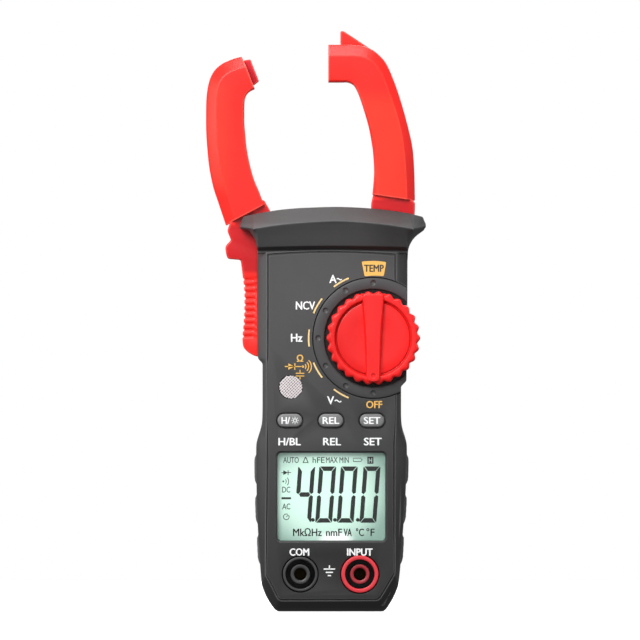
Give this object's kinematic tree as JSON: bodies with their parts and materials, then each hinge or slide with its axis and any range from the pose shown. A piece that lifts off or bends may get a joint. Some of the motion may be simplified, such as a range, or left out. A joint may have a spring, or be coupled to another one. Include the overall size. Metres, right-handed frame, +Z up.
{
  "type": "clamp meter",
  "caption": "Hand-held digital clamp meter with an opening jaw worked by a side trigger, rotary selector, keys, display and two input sockets.",
  "frame": {"origin": "centre of the flat end of the handle", "axes": "+Z up the handle to the jaw, face to -Y, +X to the right of someone facing it"},
  "size_m": [0.0734, 0.0342, 0.1937],
  "materials": {
    "case_plastic": "fine moulded texture",
    "grip_rubber": "satin",
    "screw_steel": "zinc plated",
    "red_plastic": "satin gloss",
    "core_iron": "laminated",
    "copper_winding": "enamelled wire",
    "dial_plastic": "satin",
    "switch_nylon": "satin",
    "brass": "satin",
    "key_plastic": "satin",
    "black_rubber": "matt",
    "clear_window": "clear",
    "lcd": "reflective display",
    "com_plastic": "satin",
    "input_plastic": "satin",
    "grille": "satin",
    "board": "solder mask",
    "buzzer_black": "matt",
    "ceramic": "dipped",
    "cell_sleeve": "printed sleeve"
  },
  "bodies": {
    "housing": {"front_case": "case_plastic", "rear_case": "case_plastic", "grip_pad_left_upper": "grip_rubber", "grip_pad_left_middle": "grip_rubber", "grip_pad_left_lower": "grip_rubber", "grip_pad_right_upper": "grip_rubber", "grip_pad_right_middle": "grip_rubber", "grip_pad_right_lower": "grip_rubber", "case_screw_lower_left": "screw_steel", "case_screw_lower_right": "screw_steel", "case_screw_upper_left": "screw_steel", "case_screw_upper_right": "screw_steel", "case_screw_top": "screw_steel", "jaw_pivot_pin": "screw_steel", "jaw_return_spring": "screw_steel", "detent_spring": "screw_steel", "battery_bridge_contact": "screw_steel", "battery_contact_positive": "screw_steel", "battery_spring_negative": "screw_steel", "fixed_jaw_front_shell": "red_plastic", "fixed_jaw_rear_shell": "red_plastic", "fixed_core": "core_iron", "fixed_coil": "copper_winding", "dial_ring": "dial_plastic", "lcd_frame": "switch_nylon", "backlight_panel": "switch_nylon", "com_jack_sleeve": "brass", "input_jack_sleeve": "brass", "ncv_sensor_plate": "brass", "keypad": "black_rubber", "zebra_connector": "black_rubber", "lcd_lens": "clear_window", "lcd_glass": "lcd", "com_jack_shroud": "com_plastic", "input_jack_shroud": "input_plastic", "sensor_grille": "grille", "main_pcb": "board", "buzzer": "buzzer_black", "thermistor": "ceramic", "battery_left": "cell_sleeve", "battery_right": "cell_sleeve"},
    "moving_jaw": {"moving_jaw_front_shell": "red_plastic", "moving_jaw_rear_shell": "red_plastic", "moving_core": "core_iron", "moving_coil": "copper_winding"},
    "selector": {"selector_knob": "red_plastic", "rotary_contact_disc": "switch_nylon", "wiper_contact": "brass"},
    "key_left": {"button_left": "key_plastic"},
    "key_mid": {"button_mid": "key_plastic"},
    "key_right": {"button_right": "key_plastic"},
    "battery_cover": {"battery_door": "case_plastic", "battery_door_screw": "screw_steel"}
  },
  "joints": [
    {"name": "jaw_pivot", "type": "hinge", "parent": "housing", "child": "moving_jaw", "pos_m": [-0.0071, 0, 0.1144], "axis": [0, 1, 0], "range_deg": [0, 22], "stiffness_Nm_per_rad": 0.59, "springref_deg": 36.44},
    {"name": "selector_turn", "type": "hinge", "parent": "housing", "child": "selector", "pos_m": [0.01393, 0, 0.09117], "axis": [0, 1, 0], "range_deg": [0, 180]},
    {"name": "key_left_press", "type": "slide", "parent": "housing", "child": "key_left", "axis": [0, 1, 0], "range_m": [0, 0.0008], "stiffness_N_per_m": 1000},
    {"name": "key_mid_press", "type": "slide", "parent": "housing", "child": "key_mid", "axis": [0, 1, 0], "range_m": [0, 0.0008], "stiffness_N_per_m": 1000},
    {"name": "key_right_press", "type": "slide", "parent": "housing", "child": "key_right", "axis": [0, 1, 0], "range_m": [0, 0.0008], "stiffness_N_per_m": 1000},
    {"name": "battery_cover_lift", "type": "slide", "parent": "housing", "child": "battery_cover", "axis": [0, 1, 0], "range_m": [0, 0.03]}
  ]
}
